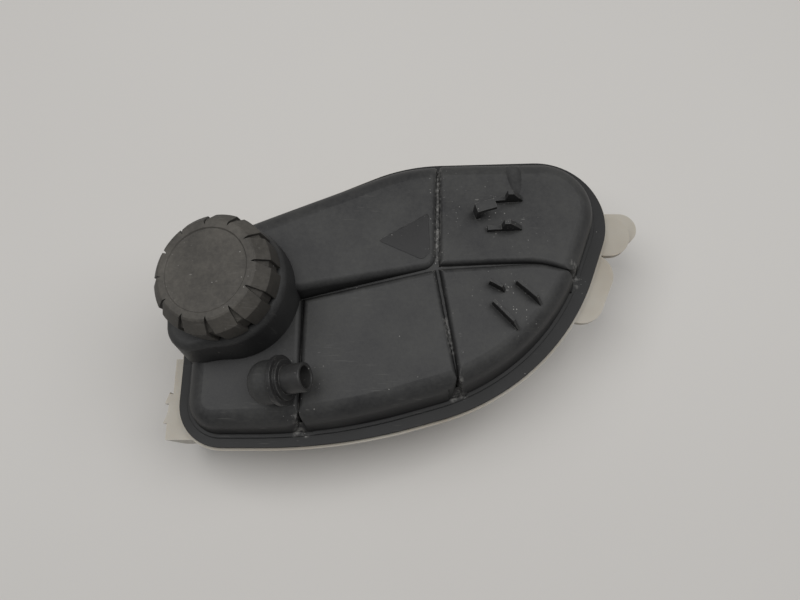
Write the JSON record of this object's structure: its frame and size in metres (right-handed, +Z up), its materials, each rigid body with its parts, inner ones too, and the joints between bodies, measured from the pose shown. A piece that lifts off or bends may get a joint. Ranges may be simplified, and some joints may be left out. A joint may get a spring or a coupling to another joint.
{
  "type": "coolant expansion tank",
  "caption": "Car coolant expansion tank: black puffed upper shell welded to a pale tub, leaning screw cap, hose spigots, level float and sensor.",
  "frame": {"origin": "on the flat underside of the tub, below the middle of the tank", "axes": "+X along the tank away from the filler cap, +Y to the back, +Z up"},
  "size_m": [0.3081, 0.2066, 0.1427],
  "materials": {
    "black_polypropylene": "matte, fine grain",
    "natural_polypropylene": "natural, translucent",
    "spigot_nylon": "semi-gloss",
    "cap_plastic": "matte",
    "valve_plastic": "semi-matte",
    "seal_rubber": "matte",
    "spring_steel": "drawn wire",
    "float_plastic": "natural",
    "magnet_ferrite": "sintered",
    "sensor_plastic": "semi-matte",
    "tinned_brass": "tinned"
  },
  "bodies": {
    "tank": {"upper_shell": "black_polypropylene", "lower_shell": "natural_polypropylene", "return_spigot": "spigot_nylon", "float_stop": "float_plastic", "sensor_body": "sensor_plastic", "sensor_terminals": "tinned_brass", "sensor_o_ring": "seal_rubber", "sensor_clip": "sensor_plastic"},
    "cap_insert": {"valve_insert": "valve_plastic", "upper_o_ring": "seal_rubber", "lower_o_ring": "seal_rubber", "spring_cover": "valve_plastic", "pressure_spring": "spring_steel"},
    "cap": {"cap_shell": "cap_plastic", "cap_ring": "valve_plastic"},
    "pressure_valve": {"pressure_plate": "valve_plastic", "pressure_seal": "seal_rubber", "vacuum_spring": "spring_steel"},
    "vacuum_valve": {"vacuum_valve": "valve_plastic", "vacuum_keeper": "valve_plastic"},
    "level_float": {"level_float": "float_plastic", "float_magnet": "magnet_ferrite"}
  },
  "joints": [
    {"name": "cap_lift", "type": "slide", "parent": "tank", "child": "cap_insert", "axis": [-0.2079, 0, 0.9781], "range_m": [0, 0.00901]},
    {"name": "cap_turn", "type": "hinge", "parent": "cap_insert", "child": "cap", "pos_m": [-0.0984, -0.0048, 0.1155], "axis": [-0.2079, 0, 0.9781], "range_deg": [0, 540]},
    {"name": "pressure_lift", "type": "slide", "parent": "cap_insert", "child": "pressure_valve", "axis": [-0.2079, 0, 0.9781], "range_m": [0, 0.0025], "stiffness_N_per_m": 5000, "deforming": ["pressure_spring"]},
    {"name": "vacuum_drop", "type": "slide", "parent": "pressure_valve", "child": "vacuum_valve", "axis": [0.2079, 0, -0.9781], "range_m": [0, 0.0015], "stiffness_N_per_m": 500, "deforming": ["vacuum_spring"]},
    {"name": "float_rise", "type": "slide", "parent": "tank", "child": "level_float", "axis": [0, 0, 1], "range_m": [0, 0.014]}
  ],
  "couplings": [
    {"joint": "cap_lift", "follows": "cap_turn", "m_per_rad": 0.00095493}
  ]
}
